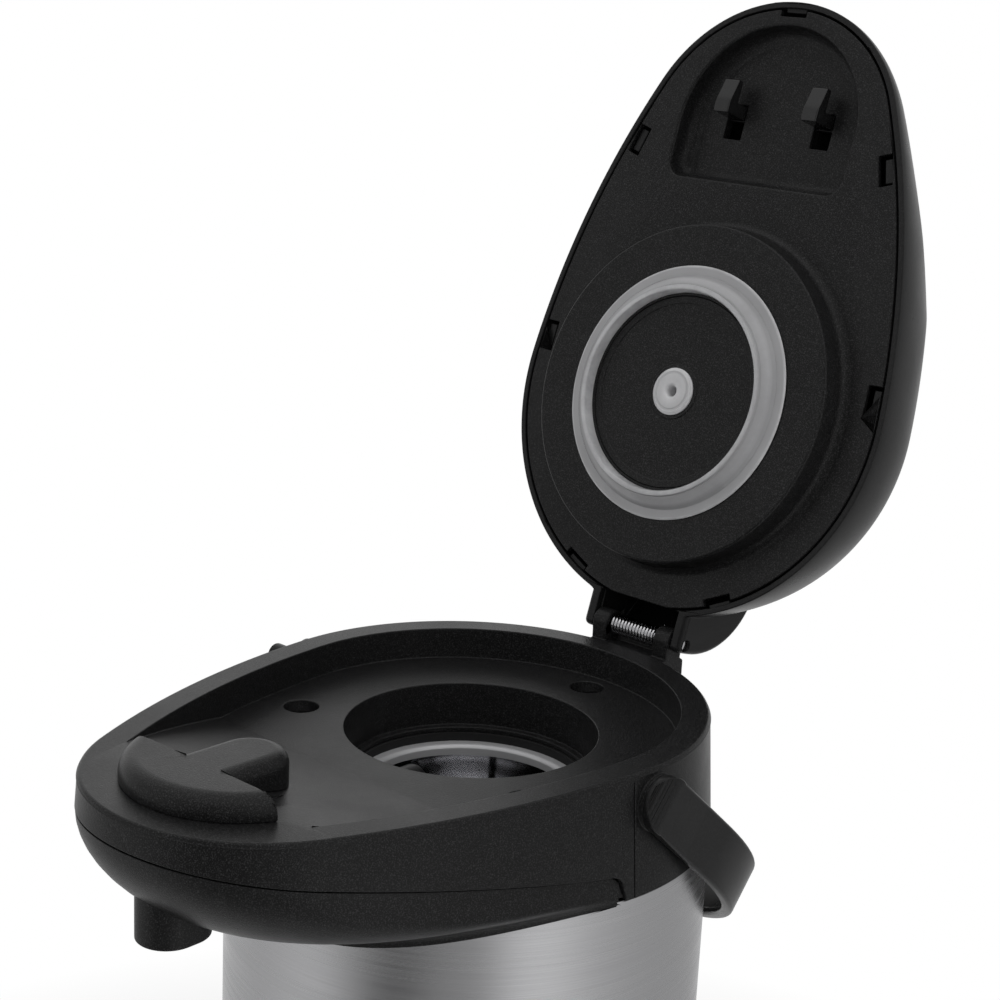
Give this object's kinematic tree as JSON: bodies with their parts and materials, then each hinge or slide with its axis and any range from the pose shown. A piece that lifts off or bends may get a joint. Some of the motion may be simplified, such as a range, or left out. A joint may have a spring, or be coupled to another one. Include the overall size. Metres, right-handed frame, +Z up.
{
  "type": "airpot",
  "caption": "Pump-top vacuum airpot with hinged lid standing open, spout under an overhanging head, sprung hinge, carrying handle and turning base.",
  "frame": {"origin": "middle of the underside of the turning base, on the table, on the body's axis", "axes": "+Z up along the body's axis, -Y towards the spout, +X to the right seen from the spout side's back, so X is the hinge pin's direction"},
  "size_m": [0.1728, 0.3261, 0.5352],
  "materials": {
    "black_plastic": "fine texture",
    "lid_plastic": "satin",
    "gloss_black": "polished",
    "brushed_steel": "brushed round the body",
    "mirror_steel": "polished",
    "silicone": "translucent, satin",
    "dark_rubber": "matt",
    "white_plastic": "satin"
  },
  "bodies": {
    "pot": {"bottom_cap": "black_plastic", "body_shell": "brushed_steel", "flask_outer": "mirror_steel", "flask_inner": "mirror_steel", "flask_cushion": "dark_rubber", "neck_gasket": "dark_rubber", "shoulder_ring": "black_plastic", "head": "black_plastic", "deck_screws": "mirror_steel", "spout_block": "black_plastic", "front_cover": "black_plastic", "spout_nozzle": "black_plastic", "water_pipe": "white_plastic", "riser_elbow": "black_plastic", "suction_tube": "mirror_steel", "pipe_seal": "dark_rubber", "hinge_bracket": "black_plastic", "hinge_pin": "mirror_steel", "hinge_spring": "mirror_steel", "bracket_screws": "mirror_steel", "handle_pivots": "gloss_black"},
    "swivel": {"swivel_base": "black_plastic", "swivel_pads": "dark_rubber", "swivel_clip": "mirror_steel"},
    "valve_ball": {"tilt_valve_ball": "mirror_steel"},
    "handle": {"handle": "lid_plastic"},
    "lid": {"lid_cover": "lid_plastic", "lid_inner": "black_plastic", "seal_ring": "silicone", "pump_floor": "black_plastic", "vent_grommet": "silicone", "bellows": "dark_rubber", "pump_spring": "mirror_steel", "button_sleeve": "lid_plastic", "latch_springs": "mirror_steel"},
    "button": {"pump_button": "lid_plastic", "intake_flap": "silicone"},
    "lock": {"lock_slider": "gloss_black"},
    "latch": {"latch_carriage": "gloss_black", "latch_release": "gloss_black"}
  },
  "joints": [
    {"name": "base_turn", "type": "hinge", "parent": "pot", "child": "swivel", "pos_m": [0, 0, 0.01], "axis": [0, 0, 1], "continuous": true},
    {"name": "valve_ball_lift", "type": "slide", "parent": "pot", "child": "valve_ball", "axis": [0, 0, 1], "range_m": [0, 0.005]},
    {"name": "handle_swing", "type": "hinge", "parent": "pot", "child": "handle", "pos_m": [0, 0, 0.294], "axis": [1, 0, 0], "range_deg": [0, 40]},
    {"name": "lid_hinge", "type": "hinge", "parent": "pot", "child": "lid", "pos_m": [0, 0.0874, 0.3102], "axis": [1, 0, 0], "range_deg": [0, 108]},
    {"name": "pump_press", "type": "slide", "parent": "lid", "child": "button", "axis": [0, -0.9511, 0.309], "range_m": [0, 0.024], "stiffness_N_per_m": 600, "springref_m": -0.012, "deforming": ["bellows", "pump_spring"]},
    {"name": "lock_slide", "type": "slide", "parent": "lid", "child": "lock", "axis": [0, 0.309, 0.9511], "range_m": [-0.007, 0]},
    {"name": "latch_press", "type": "slide", "parent": "lid", "child": "latch", "axis": [0, -0.309, -0.9511], "range_m": [0, 0.004], "stiffness_N_per_m": 500, "springref_m": -0.004, "deforming": ["latch_springs"]}
  ]
}
